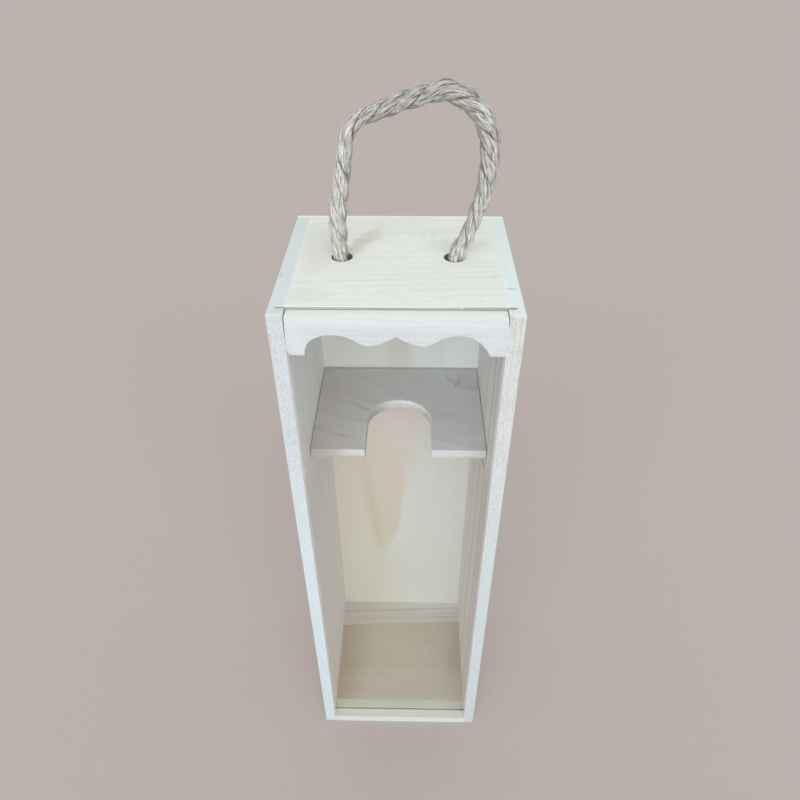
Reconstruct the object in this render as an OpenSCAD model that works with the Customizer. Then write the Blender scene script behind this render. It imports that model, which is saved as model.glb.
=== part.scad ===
// Tall wooden box for one wine bottle: a pale wooden carcass with a scalloped valance and a notched
// neck shelf, a clear pane that slides up out of its grooves, and a rope handle knotted under the top.
// The box stands on z = 0 with its front facing -Y, and the origin is the middle of its base.

/* [Box] */
// Width over the two side panels
box_w = 110; // [96:1:150]
// Depth from the front edges to the back panel's outer face
box_d = 102; // [96:1:140]
// Height
box_h = 355; // [320:1:420]

/* [Boards] */
// Thickness of each side panel
side_t = 7; // [6:0.5:10]
// Thickness of the top panel
top_t = 6.5; // [5:0.5:12]
// Thickness of the bottom board and of the strip behind it
bottom_t = 6.5; // [5:0.5:12]
// Thickness of the back panel
back_t = 2.5; // [2:0.5:6]
// Width of the strip that is glued to the bottom board's back edge
strip_w = 19.5; // [12:0.5:40]

/* [Front pane] */
// Thickness of the clear pane
pane_t = 1; // [0.8:0.1:2]
// Distance of the pane's middle plane behind the front edges
pane_setback = 6.85; // [5.5:0.05:9]
// Free play of the pane in its grooves, on each face
pane_play = 0.15; // [0.1:0.05:0.3]
// Depth of the groove in each side panel
side_groove = 3.5; // [2:0.25:4.5]
// Depth of the groove in the bottom board
floor_groove = 3; // [2:0.25:4]

/* [Neck shelf] */
// Height of the shelf's upper face above the ground
shelf_z = 255.5; // [220:0.5:290]
// Thickness of the shelf
shelf_t = 6; // [4:0.5:10]
// Distance of the shelf's front edge behind the front edges of the box
shelf_setback = 24.5; // [15:0.5:40]
// Radius of the notch that the bottle's neck stands in
notch_r = 18; // [14:0.5:24]
// Distance from the shelf's front edge to the middle of the notch's round end
notch_depth = 25; // [15:0.5:36]
// Gap between the shelf and the boards beside and behind it
shelf_gap = 0.3; // [0.1:0.05:0.8]

/* [Valance] */
// Distance of the valance's top edge below the top of the box
valance_inset = 1; // [0:0.25:3]
// Distance of the end lugs' lower edges below the top of the box
lug_drop = 20.5; // [17:0.5:30]
// Width of the flat lower edge of the left end lug
left_lug_w = 8; // [4:0.5:10]
// Width of the flat lower edge of the right end lug
right_lug_w = 7; // [4:0.5:10]
// Distance of the two crests of the scalloped edge below the top of the box
crest_drop = 10; // [8:0.5:14]
// Distance of each crest from the middle
crest_x = 28; // [22:0.5:32]
// Distance of the two low points of the scalloped edge below the top of the box
dip_drop = 15.5; // [12:0.5:24]
// Distance of each low point from the middle
dip_x = 12.5; // [8:0.5:18]
// Distance of the point in the middle of the scalloped edge below the top of the box
cusp_drop = 10.5; // [8:0.5:14]
// Width of the wedge-shaped gap at the valance's upper left corner
valance_wedge = 0.8; // [0:0.1:1.2]

/* [Rope] */
// Diameter of the rope
rope_d = 8; // [6:0.5:10]
// Diameter of the two holes in the top panel
rope_hole_d = 10; // [7:0.5:13]
// Distance between the two holes
hole_spacing = 54; // [44:1:64]
// Distance of the holes behind the front edges
hole_setback = 53.5; // [44:0.5:60]
// Diameter of the knots under the top panel
knot_d = 26; // [22:0.5:28]
// Height of the knots
knot_h = 24; // [18:0.5:32]
// Length of the rope's tails below the knots
tail_l = 12; // [5:0.5:20]

/* [Brads] */
// Diameter of the wire brads
brad_d = 1.2; // [1:0.1:1.6]
// Length of the brads through the side panels
brad_l = 20; // [15:0.5:25]
// Length of the brads through the back panel
back_brad_l = 14; // [10:0.5:20]
// Diameter of a brad's head
brad_head_d = 2.2; // [1.8:0.1:2.8]
// Thickness of a brad's head
brad_head_t = 0.6; // [0.4:0.1:0.8]
// Depth of the heads' faces below the wood
brad_sink = 0.2; // [0:0.1:0.4]
// Distance of the brads in a row's ends from the edge of the board that they hold
brad_inset = 15; // [10:1:18]
// Distance of the valance's brads below the top of the box
valance_brad_drop = 8; // [6:0.5:9]
// Number of brads in each long row through the back panel
back_brad_count = 4; // [3:1:6]
// Distance of the long rows' end brads from the top and from the ground
back_brad_inset = 30; // [20:1:50]
// Distance of the other back brads from the middle
back_brad_x = 24; // [14:1:28]

/* [Hidden] */

// Small clearances: round the brads, at the rope's pivots and knots, and past a face that is cut
brad_fit = 0.05;
rope_gap = 0.3;
cut = 1;

// Colours of the pieces
side_colour = [0.86, 0.84, 0.80];
end_colour = [0.89, 0.84, 0.74];
shelf_colour = [0.76, 0.69, 0.66];
floor_colour = [0.82, 0.72, 0.60];
pane_colour = [0.80, 0.86, 0.86, 0.35];
rope_colour = [0.66, 0.60, 0.50];
steel_colour = [0.62, 0.62, 0.62];

// The carcass: outer and inner faces, front and back planes
half_w = box_w / 2;
inner_w = box_w - 2 * side_t;
half_in = inner_w / 2;
front_y = -box_d / 2;
back_y = box_d / 2;
carcass_d = box_d - back_t;

// The pane's slot: its front and back faces, from the front edges of the box
groove_w = pane_t + 2 * pane_play;
slot_front = pane_setback - groove_w / 2;
slot_back = pane_setback + groove_w / 2;
pane_w = inner_w + 2 * (side_groove - pane_play);
pane_bottom = bottom_t - floor_groove;

// The bottom board in front of its glued strip, and the top panel behind the slot
board_d = carcass_d - strip_w;
top_d = carcass_d - slot_back;
under_top = box_h - top_t;

// The shelf
shelf_w = inner_w - 2 * shelf_gap;
shelf_d = carcass_d - shelf_setback - shelf_gap;

// The rope: the holes' middles, and the axis that the handle folds about
hole_x = hole_spacing / 2;
hole_y = front_y + hole_setback;
fold_z = box_h + rope_d / 2 + rope_gap;
knot_top = under_top - rope_gap;

// The rope's middle line above the fold axis, from the left hole to the right one, as sizes across,
// front to back and up from the middle of the axis
rope_sides = 10;
rope_cap_steps = 3;
rope_route = [
    [-hole_x, 0, 0],
    [-27.5, 0, 10],
    [-27, -0.5, 22],
    [-25, -1, 33],
    [-23.5, -1.5, 44],
    [-21, -1.5, 53.5],
    [-16.5, -1, 59],
    [-8, 0, 63],
    [3, 1, 66.5],
    [12, 1.5, 69.5],
    [20, 2, 70.5],
    [29.5, 1.5, 66.5],
    [37, 1, 58.5],
    [40, 0.5, 47],
    [39, 0, 31],
    [35, -0.5, 17],
    [31, 0, 7],
    [hole_x, 0, 0],
];

// Middles of the horizontal boards' thicknesses, where the brads enter them
top_mid_z = box_h - top_t / 2;
bottom_mid_z = bottom_t / 2;
shelf_mid_z = shelf_z - shelf_t / 2;

// Places of the brads through one side panel, as [depth behind the front, height]
rear_brad_y = carcass_d - brad_inset;
side_brad_places = [
    [slot_back + brad_inset, top_mid_z],
    [rear_brad_y, top_mid_z],
    [slot_back + brad_inset, bottom_mid_z],
    [board_d - brad_inset, bottom_mid_z],
    [carcass_d - strip_w / 2, bottom_mid_z],
    [shelf_setback + brad_inset, shelf_mid_z],
    [rear_brad_y, shelf_mid_z],
    [slot_front / 2, box_h - valance_brad_drop],
];

// Places of the brads through the back panel, as [across, height]: a long row into each side panel, and
// two brads into each horizontal board
back_brad_step = (box_h - 2 * back_brad_inset) / (back_brad_count - 1);
back_brad_places = [
    for (side = [-1, 1], i = [0:back_brad_count - 1])
        [side * (half_w - side_t / 2), back_brad_inset + i * back_brad_step],
    for (side = [-1, 1], z = [bottom_mid_z, shelf_mid_z, top_mid_z]) [side * back_brad_x, z],
];

// One brad along +Z, its head's face at z = 0 and its point at z = -length
module brad(length) {
    translate([0, 0, -brad_head_t]) cylinder(h = brad_head_t, d = brad_head_d, $fn = 24);
    translate([0, 0, -length]) cylinder(h = length - brad_head_t / 2, d = brad_d, $fn = 24);
}

// The hole that one brad leaves in the wood, open at the face that it was driven into
module brad_hole(length) {
    translate([0, 0, -brad_head_t - brad_fit])
        cylinder(h = brad_head_t + brad_fit + cut, d = brad_head_d + 2 * brad_fit, $fn = 24);
    translate([0, 0, -length - brad_fit])
        cylinder(h = length, d = brad_d + 2 * brad_fit, $fn = 24);
}

// Puts its children at every brad of one side, pointing outwards; side is -1 on the left, 1 on the right
module at_side_brads(side) {
    for (p = side_brad_places)
        translate([side * (half_w - brad_sink), front_y + p[0], p[1]])
            rotate([0, side * 90, 0]) children();
}

// Puts its children at every brad of the back panel, pointing backwards
module at_back_brads() {
    for (p = back_brad_places)
        translate([p[0], back_y - brad_sink, p[1]]) rotate([-90, 0, 0]) children();
}

// The holes of all brads, cut from every board that they pass through
module brad_holes() {
    for (side = [-1, 1]) at_side_brads(side) brad_hole(brad_l);
    at_back_brads() brad_hole(back_brad_l);
}

// A board with its front left lower corner at [x, depth behind the front, z]
module board(corner, size) {
    translate([corner[0], front_y + corner[1], corner[2]]) cube(size);
}

// One side panel, with its groove sawn from end to end
module side_panel(side) {
    outer_x = side < 0 ? -half_w : half_in;
    groove_x = side < 0 ? -half_in - side_groove : half_in - cut;
    difference() {
        board([outer_x, 0, 0], [side_t, carcass_d, box_h]);
        board([groove_x, slot_front, -cut], [side_groove + cut, groove_w, box_h + 2 * cut]);
        brad_holes();
    }
}

module left_side_panel() {
    color(side_colour) side_panel(-1);
}

module right_side_panel() {
    color(side_colour) side_panel(1);
}

module top_panel() {
    color(end_colour) difference() {
        board([-half_in, slot_back, under_top], [inner_w, top_d, top_t]);
        for (side = [-1, 1])
            translate([side * hole_x, hole_y, under_top - cut])
                cylinder(h = top_t + 2 * cut, d = rope_hole_d, $fn = 48);
        brad_holes();
    }
}

module bottom_board() {
    color(floor_colour) difference() {
        board([-half_in, 0, 0], [inner_w, board_d, bottom_t]);
        board([-half_in - cut, slot_front, pane_bottom], [inner_w + 2 * cut, groove_w, bottom_t]);
        brad_holes();
    }
}

module bottom_back_strip() {
    color(end_colour) difference() {
        board([-half_in, board_d, 0], [inner_w, strip_w, bottom_t]);
        brad_holes();
    }
}

module back_panel() {
    color(end_colour) difference() {
        board([-half_w, carcass_d, 0], [box_w, back_t, box_h]);
        brad_holes();
    }
}

// The shelf's notch is open to its front edge
module neck_shelf() {
    notch_y = front_y + shelf_setback + notch_depth;
    color(shelf_colour) difference() {
        board([-shelf_w / 2, shelf_setback, shelf_z - shelf_t], [shelf_w, shelf_d, shelf_t]);
        translate([0, notch_y, shelf_z - shelf_t - cut])
            cylinder(h = shelf_t + 2 * cut, r = notch_r, $fn = 96);
        board([-notch_r, shelf_setback - cut, shelf_z - shelf_t - cut],
            [2 * notch_r, notch_depth + cut, shelf_t + 2 * cut]);
        brad_holes();
    }
}

// Depths of the scalloped edge below the top of the box. The flank of a lug runs over an angle a from 0 at
// the crest to 90 at the lug, and a smaller flank power makes it hollower: the edge is sawn by hand, so
// the left flank is hollow and the right one is nearly straight. The other curves run over u from 0 to 1,
// from a crest in to its low point, and from a low point in to the middle.
left_flank_power = 0.4;
right_flank_power = 0.8;
dip_power = 1.5;
cusp_power = 1.8;
function ease(u) = u * u * (3 - 2 * u);
function flank_curve(a, power) = crest_drop + (lug_drop - crest_drop) * (1 - pow(cos(a), 2 * power));
function dip_curve(u) = crest_drop + (dip_drop - crest_drop) * ease(pow(u, dip_power));
function cusp_curve(u) = dip_drop - (dip_drop - cusp_drop) * pow(u, cusp_power);

// Half of the scalloped edge from a lug's inner corner to the middle, as [distance from the middle, -drop]
scallop_steps = 12;
function half_scallop(lug_w, flank_power) = [
    for (i = [scallop_steps:-1:1])
        let (a = 90 * i / scallop_steps)
        [crest_x + (half_in - lug_w - crest_x) * sin(a), -flank_curve(a, flank_power)],
    for (i = [0:scallop_steps - 1])
        let (u = i / scallop_steps) [crest_x - (crest_x - dip_x) * u, -dip_curve(u)],
    for (i = [0:scallop_steps])
        let (u = i / scallop_steps) [dip_x * (1 - u), -cusp_curve(u)],
];

// The valance's right end bears on the right side panel, and its left end is cut a little out of square
module front_valance() {
    left_half = half_scallop(left_lug_w, left_flank_power);
    right_half = half_scallop(right_lug_w, right_flank_power);
    outline = concat(
        [[half_in, -valance_inset], [half_in, -lug_drop]],
        right_half,
        [for (i = [len(left_half) - 2:-1:0]) [-left_half[i][0], left_half[i][1]]],
        [[-half_in, -lug_drop], [-half_in + valance_wedge, -valance_inset]]
    );
    color(side_colour) difference() {
        translate([0, front_y + slot_front, box_h])
            rotate([90, 0, 0]) linear_extrude(height = slot_front) polygon(outline);
        brad_holes();
    }
}

// The pane stands on the floor of the bottom board's groove, flush with the top of the box
module front_pane() {
    pane_h = box_h - pane_bottom;
    color(pane_colour)
        board([-pane_w / 2, pane_setback - pane_t / 2, pane_bottom], [pane_w, pane_t, pane_h]);
}

// Directions along the route: towards the next point at the ends, and from the last to the next between
function unit(v) = v / norm(v);
function route_dir(p, i) = unit(p[min(i + 1, len(p) - 1)] - p[max(i - 1, 0)]);

// One ring of the tube round a point, square to the direction d
function ring(centre, d, r) =
    let (side = unit(cross([0, 1, 0], d)), deep = cross(d, side))
    [for (k = [0:rope_sides - 1])
        let (a = 360 * k / rope_sides) centre + r * (cos(a) * side + sin(a) * deep)];

// Rings that round off one end of the tube, from near its tip to its full radius; turn is -1 at the end
function cap_rings(centre, d, turn) = [
    for (k = [1:rope_cap_steps])
        let (a = 90 * k / (rope_cap_steps + 1), j = turn > 0 ? a : 90 - a)
        ring(centre - turn * cos(j) * d * rope_d / 2, d, sin(j) * rope_d / 2)];

// A closed tube over a list of rings, with flat ends
module tube(rings) {
    n = len(rings);
    s = rope_sides;
    sides = [
        for (i = [0:n - 2], k = [0:s - 1], half = [0, 1])
            let (a = i * s + k, b = i * s + (k + 1) % s)
            half == 0 ? [a, b + s, b] : [a, a + s, b + s]
    ];
    ends = [[for (k = [0:s - 1]) k], [for (k = [s - 1:-1:0]) (n - 1) * s + k]];
    polyhedron(points = [for (r = rings, p = r) p], faces = concat(sides, ends));
}

// The arch of rope between the two holes, with round ends that turn in place as the handle folds
module rope_handle() {
    n = len(rope_route);
    rings = concat(
        cap_rings(rope_route[0], route_dir(rope_route, 0), 1),
        [for (i = [0:n - 1]) ring(rope_route[i], route_dir(rope_route, i), rope_d / 2)],
        cap_rings(rope_route[n - 1], route_dir(rope_route, n - 1), -1)
    );
    color(rope_colour) translate([0, hole_y, fold_z]) tube(rings);
}

// The rope's end below the top face: through the hole, into the knot that bears on the panel, and its tail
module rope_knot(side) {
    knot_steps = 12;
    fullness = 0.7;
    half_h = knot_h / 2;
    profile = [for (i = [0:knot_steps])
        let (a = 180 * i / knot_steps) [knot_d / 2 * pow(abs(sin(a)), fullness), half_h * cos(a)]];
    color(rope_colour) translate([side * hole_x, hole_y, 0]) {
        translate([0, 0, knot_top - half_h]) rotate_extrude($fn = 32) polygon(profile);
        translate([0, 0, knot_top - knot_h - tail_l])
            cylinder(h = box_h - knot_top + knot_h + tail_l, d = rope_d, $fn = 32);
    }
}

module left_rope_knot() {
    rope_knot(-1);
}

module right_rope_knot() {
    rope_knot(1);
}

module left_side_brads() {
    color(steel_colour) at_side_brads(-1) brad(brad_l);
}

module right_side_brads() {
    color(steel_colour) at_side_brads(1) brad(brad_l);
}

module back_panel_brads() {
    color(steel_colour) at_back_brads() brad(back_brad_l);
}

left_side_panel();
right_side_panel();
top_panel();
bottom_board();
bottom_back_strip();
back_panel();
neck_shelf();
front_valance();
front_pane();
rope_handle();
left_rope_knot();
right_rope_knot();
left_side_brads();
right_side_brads();
back_panel_brads();
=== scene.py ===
"""A tall wooden box for one bottle: pale boards, a clear pane that slides up, and a handle of jute rope."""

import math
import random

import bmesh
import bpy
import numpy as np
from mathutils import Matrix, Vector


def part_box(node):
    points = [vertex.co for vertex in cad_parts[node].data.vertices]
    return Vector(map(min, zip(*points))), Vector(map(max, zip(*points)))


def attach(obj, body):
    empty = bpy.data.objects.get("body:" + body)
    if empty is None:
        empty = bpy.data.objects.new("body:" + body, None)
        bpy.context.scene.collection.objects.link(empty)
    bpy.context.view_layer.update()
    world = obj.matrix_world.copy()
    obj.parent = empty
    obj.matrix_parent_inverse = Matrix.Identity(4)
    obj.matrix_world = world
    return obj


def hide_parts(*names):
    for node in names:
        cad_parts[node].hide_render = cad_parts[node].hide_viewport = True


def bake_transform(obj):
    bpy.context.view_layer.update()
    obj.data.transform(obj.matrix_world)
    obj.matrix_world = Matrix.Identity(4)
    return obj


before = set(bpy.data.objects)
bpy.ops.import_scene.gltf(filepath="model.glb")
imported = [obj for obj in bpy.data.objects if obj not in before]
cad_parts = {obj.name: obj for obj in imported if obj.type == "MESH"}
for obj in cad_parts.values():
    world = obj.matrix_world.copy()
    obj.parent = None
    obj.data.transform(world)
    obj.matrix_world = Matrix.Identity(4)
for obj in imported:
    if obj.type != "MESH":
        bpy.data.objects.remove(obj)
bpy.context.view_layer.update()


# The camera looks down at the box's front from a little above the rope handle, and almost from the middle.
# Nothing is shifted, so the box stands in the picture as it does through the lens.
CAMERA_PLACE = (0.00693, -0.28999, 0.50190)
CAMERA_DOWN, CAMERA_LEFT, CAMERA_ROLL = (math.radians(a) for a in (38.768, 1.258, -0.294))


def linked(name, data):
    """A new object of that name in the scene, with the given mesh, lens or lamp."""
    made = bpy.data.objects.new(name, data)
    bpy.context.scene.collection.objects.link(made)
    return made


camera = linked("camera", bpy.data.cameras.new("camera"))
camera.data.sensor_width, camera.data.lens = 36.0, 29.97
camera.data.clip_start = 0.02
camera.matrix_world = (
    Matrix.Translation(CAMERA_PLACE)
    @ Matrix.Rotation(CAMERA_LEFT, 4, "Z")
    @ Matrix.Rotation(math.pi / 2 - CAMERA_DOWN, 4, "X")
    @ Matrix.Rotation(CAMERA_ROLL, 4, "Z")
)
bpy.context.scene.camera = camera
bpy.context.scene.view_settings.view_transform = "Standard"


# The handle is one length of three-strand jute rope, 8 mm thick. It comes up out of the left hole, is
# pulled thin where it bends sharply, runs thicker over the top and goes down into the right hole.
ROPE_D = 0.008
HOLE_X, HOLE_Y = 0.027, 0.0025
BOX_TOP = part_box("left_side_panel")[1].z
PANEL_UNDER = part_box("top_panel")[0].z
TOP_MM = BOX_TOP * 1000
FOLD_Z = BOX_TOP + ROPE_D / 2 + 0.0003
LEG_LEAN = 0.0008
# A point inside the rope's arch: the side of the rope that faces it gets browner painted shade.
SHADE_FOCUS = (0.009, HOLE_Y, FOLD_Z + 0.028)
ROPE_ROUTE_MM = [
    (-27.8, 0, 0), (-28.1, 0, 10), (-27.2, -0.5, 22), (-25, -1, 33), (-23.2, -1.5, 44), (-21, -1.5, 53.6),
    (-16.4, -1, 59.2), (-8, 0, 62.6), (3, 1, 66.3), (12, 1.5, 69.1), (20, 2, 70.1), (29.5, 1.5, 66.5),
    (37, 1, 58.5), (40, 0.5, 47), (39.2, 0, 31), (35.6, -0.5, 17), (32.3, 0, 7), (29.2, 0, 1),
]
ROPE_THICKNESS = [
    (0, 0.98), (0.05, 1.02), (0.1, 1.1), (0.19, 1.05), (0.26, 0.92), (0.31, 0.84), (0.35, 0.82), (0.39, 0.92),
    (0.45, 1.0), (0.51, 1.12), (0.58, 1.2), (0.66, 1.18), (0.76, 1.13), (0.81, 1.0), (0.86, 0.91),
    (0.92, 0.9), (0.96, 1.04), (1, 1.04),
]
ROPE_LAY = 0.029
STRANDS, YARNS = 3, 8
STRAND_R, STRAND_OUT = 0.00248, 0.00147
YARN_TURNS = 1.1


def smooth_line(points, step):
    """Points about one step apart on the smooth curve through the given points."""
    p = np.array([points[0], *points, points[-1]], float)
    p[0], p[-1] = 2 * p[1] - p[2], 2 * p[-2] - p[-3]
    line = []
    for a, b, c, d in zip(p[:-3], p[1:-2], p[2:-1], p[3:]):
        bend, twist = 2 * a - 5 * b + 4 * c - d, 3 * b - a - 3 * c + d
        for t in np.linspace(0, 1, max(2, round(np.linalg.norm(c - b) / step) + 1))[:-1]:
            line.append(0.5 * (2 * b + (c - a) * t + bend * t**2 + twist * t**3))
    return np.array([*line, p[-2]])


def frames_along(line):
    """How far along each point is, its direction, and two more directions across that don't spin about it."""
    far = np.concatenate([[0], np.cumsum(np.linalg.norm(np.diff(line, axis=0), axis=1))])
    ahead = np.gradient(line, axis=0)
    ahead /= np.linalg.norm(ahead, axis=1)[:, None]
    side = np.zeros_like(line)
    side[0] = np.cross([0.0, 1.0, 0.0], ahead[0])
    for i in range(len(line)):
        last = side[max(i - 1, 0)]
        side[i] = last - ahead[i] * (last @ ahead[i])
        side[i] /= np.linalg.norm(side[i])
    return far, ahead, side, np.cross(ahead, side)


def wobble(count, seed, amount, every):
    """A smooth random run of numbers, with a new one drawn at every so many points."""
    draw = np.random.default_rng(seed)
    knots = draw.uniform(-amount, amount, count // every + 4)
    at = np.arange(count) / every
    i = at.astype(int)
    t = at - i
    t = t * t * (3 - 2 * t)
    return knots[i] * (1 - t) + knots[i + 1] * t


def strand_rings(line, frames, swell, phase, seed, sides):
    """One strand as rings of points, and how far round its yarns each point lies, in turns."""
    far, ahead, side, deep = frames
    n = len(line)
    turn = -2 * math.pi * far / ROPE_LAY + phase + wobble(n, seed, 0.14, 16)
    out = np.cos(turn)[:, None] * side + np.sin(turn)[:, None] * deep
    middle = line + out * (STRAND_OUT * swell * (1 + wobble(n, seed + 1, 0.06, 12)))[:, None]
    run = np.gradient(middle, axis=0)
    run /= np.linalg.norm(run, axis=1)[:, None]
    out -= run * np.sum(out * run, axis=1)[:, None]
    out /= np.linalg.norm(out, axis=1)[:, None]
    flank = np.cross(run, out)
    round_ = np.linspace(0, 2 * math.pi, sides, endpoint=False)
    yarn = round_[None, :] / (2 * math.pi) - (YARN_TURNS * far / ROPE_LAY)[:, None] + seed * 0.37
    crown = np.abs(np.cos(math.pi * YARNS * yarn))
    radius = (STRAND_R * swell * (1 + wobble(n, seed + 2, 0.05, 9)))[:, None] * (1 + 0.05 * (crown - 0.75))
    rings = (
        middle[:, None]
        + out[:, None] * (np.cos(round_)[None, :] * radius)[..., None]
        + flank[:, None] * (np.sin(round_)[None, :] * radius)[..., None]
    )
    return rings, yarn, np.tile((1 - np.cos(round_)) / 2, (n, 1))


def tube_walls(rings, sides, first=0):
    """The four-sided faces of a tube over that many rings, its points numbered ring by ring."""
    grid = first + np.arange(rings * sides).reshape(rings, sides)
    nxt = np.roll(grid, -1, axis=1)
    return np.stack([grid[:-1], nxt[:-1], nxt[1:], grid[1:]], axis=-1).reshape(-1, 4).tolist()


def tube_ends(rings, sides, first=0):
    last = first + (rings - 1) * sides
    return [list(range(first + sides - 1, first - 1, -1)), list(range(last, last + sides))]


def new_piece(name, points, faces):
    mesh = bpy.data.meshes.new(name)
    mesh.from_pydata(points, [], faces)
    return linked(name, mesh)


def rope_piece(name, line, swell, seed, sides=42, shade_focus=None):
    """Three strands laid up along a line. The UV map "lay" follows their yarns, and the attribute "inward"
    is 0 on a strand's outer side and 1 on the side that faces the rope's middle. A third attribute is 1 on
    the rope's side that faces the given point inside the arch, where the rope's finish paints shade."""
    frames = frames_along(line)
    n = len(line)
    points, walls, ends, lay, inward, held = [], [], [], [], [], []
    to_shade_focus = (0 if shade_focus is None else np.array(shade_focus)) - line
    to_shade_focus -= frames[1] * np.sum(to_shade_focus * frames[1], axis=1)[:, None]
    to_shade_focus /= np.linalg.norm(to_shade_focus, axis=1)[:, None]
    for k in range(STRANDS):
        phase = 2 * math.pi * k / STRANDS
        rings, yarn, facing_in = strand_rings(line, frames, swell, phase, seed + 10 * k, sides)
        walls += tube_walls(n, sides, len(points))
        ends += tube_ends(n, sides, len(points))
        points += rings.reshape(-1, 3).tolist()
        along = np.repeat(frames[0][:, None] * 10 + k, sides, axis=1)
        lay.append(np.stack([along, yarn], axis=-1).reshape(-1, 2))
        inward.append(facing_in.reshape(-1))
        off = rings - line[:, None]
        facing_shade_focus = np.sum(off * to_shade_focus[:, None], axis=2) / np.linalg.norm(off, axis=2)
        held.append(facing_shade_focus.reshape(-1) * (shade_focus is not None))
    piece = new_piece(name, points, walls + ends)
    corner_lay = np.zeros((len(piece.data.loops), 2))
    quads = np.concatenate(lay)[np.array(walls)]
    seam = quads[..., 1] < quads[..., 1].max(axis=1, keepdims=True) - 0.5
    quads[..., 1] += seam
    corner_lay[: quads.shape[0] * 4] = quads.reshape(-1, 2)
    piece.data.uv_layers.new(name="lay").data.foreach_set("uv", corner_lay.reshape(-1))
    for key, values in (("inward", inward), ("held", held)):
        piece.data.attributes.new(key, "FLOAT", "POINT").data.foreach_set("value", np.concatenate(values))
    piece.data.shade_smooth()
    return piece


def hair_tube(points, faces, start, way, out, curl, length, thick, steps=5):
    """Adds one loose fibre: a three-sided tube that leaves along way, lifts off along out and thins out."""
    first = len(points)
    across = np.cross(way, out)
    for k in range(steps):
        t = k / (steps - 1)
        at = start + (way * t + out * t * (1.2 - 0.6 * t) + curl * t * t) * length
        for m in range(3):
            a = 2 * math.pi * m / 3
            points.append(tuple(at + (math.cos(a) * out + math.sin(a) * across) * thick * (1.0 - 0.75 * t)))
    faces += tube_walls(steps, 3, first) + tube_ends(steps, 3, first)


def hair_piece(name, line, swell, count, seed, longest, down=0):
    """Loose fibres that stand off the rope all round, and some more at its cut end, as many as down says."""
    far, ahead, side, deep = frames_along(line)
    draw = random.Random(seed)
    points, faces = [], []
    for j in range(count + down):
        at_end = j >= count
        i = len(line) - 2 if at_end else draw.randrange(3, len(line) - 3)
        turn = draw.uniform(0, 2 * math.pi)
        out = math.cos(turn) * side[i] + math.sin(turn) * deep[i]
        flank = np.cross(ahead[i], out)
        if at_end:
            start = line[i] + out * ROPE_D * 0.45 * draw.uniform(0, 1)
            way, lift, curl = ahead[i], draw.uniform(0, 0.35), flank * draw.uniform(-0.2, 0.2)
            length = longest * draw.uniform(0.2, 0.6)
        else:
            start = line[i] + out * ROPE_D * 0.46 * swell[i]
            way = ahead[i] * draw.choice((-1, 1)) * draw.uniform(0.5, 1.0) + flank * draw.uniform(-0.7, 0.7)
            lift, curl = draw.uniform(0.1, 0.8), flank * draw.uniform(-0.5, 0.5)
            length = longest * draw.uniform(0.3, 1.0) ** 2
        hair_tube(points, faces, start, way, out * lift, curl, length, draw.uniform(0.00003, 0.00008))
    return new_piece(name, points, faces)


def paint(red, green, blue):
    """A colour as it looks on a screen, 0 to 255, in the linear light that shaders take."""
    shades = (red, green, blue)
    return (*(((c / 255 + 0.055) / 1.055) ** 2.4 if c > 10 else c / 3295 for c in shades), 1.0)


class Signal:
    """A socket whose number or colour varies over a surface. Arithmetic on it adds Math nodes."""

    def __init__(self, finish, socket):
        self.finish, self.socket = finish, socket

    def __add__(self, other):
        return self.finish.maths("ADD", self, other)

    def __sub__(self, other):
        return self.finish.maths("SUBTRACT", self, other)

    def __rsub__(self, other):
        return self.finish.maths("SUBTRACT", other, self)

    def __mul__(self, other):
        return self.finish.maths("MULTIPLY", self, other)

    def __truediv__(self, other):
        return self.finish.maths("DIVIDE", self, other)

    def __pow__(self, other):
        return self.finish.maths("POWER", self, other)

    def __abs__(self):
        return self.finish.maths("ABSOLUTE", self)

    __radd__, __rmul__ = __add__, __mul__


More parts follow.
